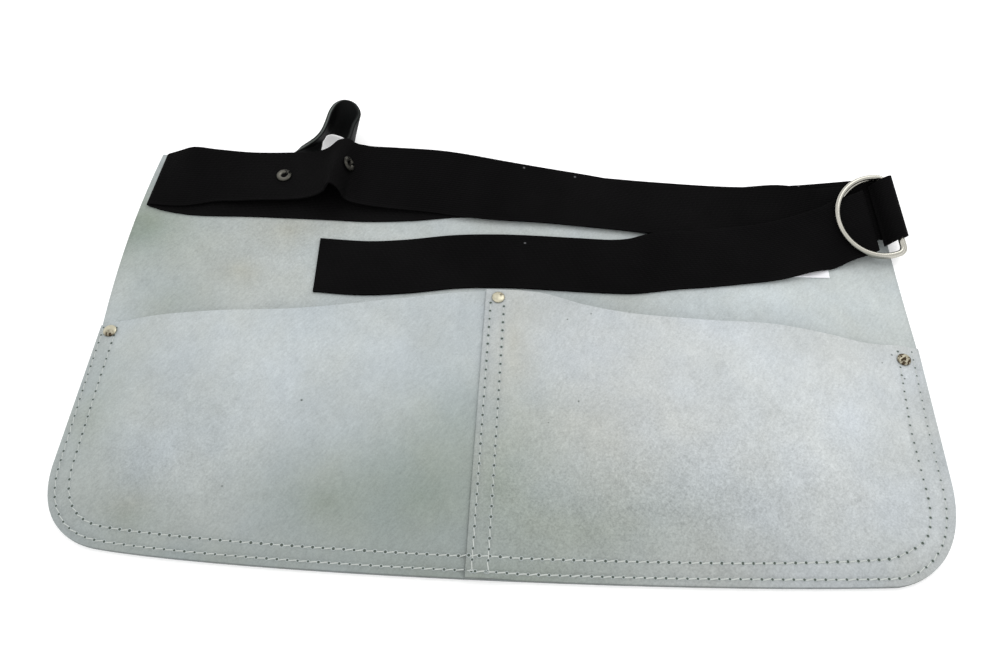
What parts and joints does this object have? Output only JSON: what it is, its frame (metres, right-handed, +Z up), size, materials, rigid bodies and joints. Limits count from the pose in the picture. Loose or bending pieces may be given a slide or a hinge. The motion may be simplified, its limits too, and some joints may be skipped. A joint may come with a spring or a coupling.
{
  "type": "nail apron",
  "caption": "Leather waist apron with open nail pockets side by side, a folded webbing belt fastened through D-rings, and a leather hammer loop riveted to the belt.",
  "frame": {"origin": "centre of the footprint at the lowest point, on the surface the apron lies on", "axes": "+X along the waist toward the D-rings, +Y from the hem to the waist, +Z up out of the pockets' front"},
  "size_m": [0.5706, 0.3626, 0.0322],
  "materials": {
    "split_leather": "matt suede split leather, pale grey-green",
    "webbing": "matt black woven webbing",
    "black_leather": "satin black leather with a grey cut edge",
    "nickel": "bright nickel-plated steel wire",
    "rivet_metal": "dull nickel with a warm cast",
    "tag_cloth": "plain white woven cloth"
  },
  "bodies": {
    "root": {"back_panel": "split_leather", "pocket_left": "split_leather", "pocket_right": "split_leather", "belt": "webbing", "hammer_loop": "black_leather", "ring_upper": "nickel", "ring_lower": "nickel", "label": "tag_cloth", "rivet_left": "rivet_metal", "rivet_centre": "rivet_metal", "rivet_right": "rivet_metal", "loop_rivet_left": "rivet_metal", "loop_rivet_right": "rivet_metal"}
  },
  "joints": []
}
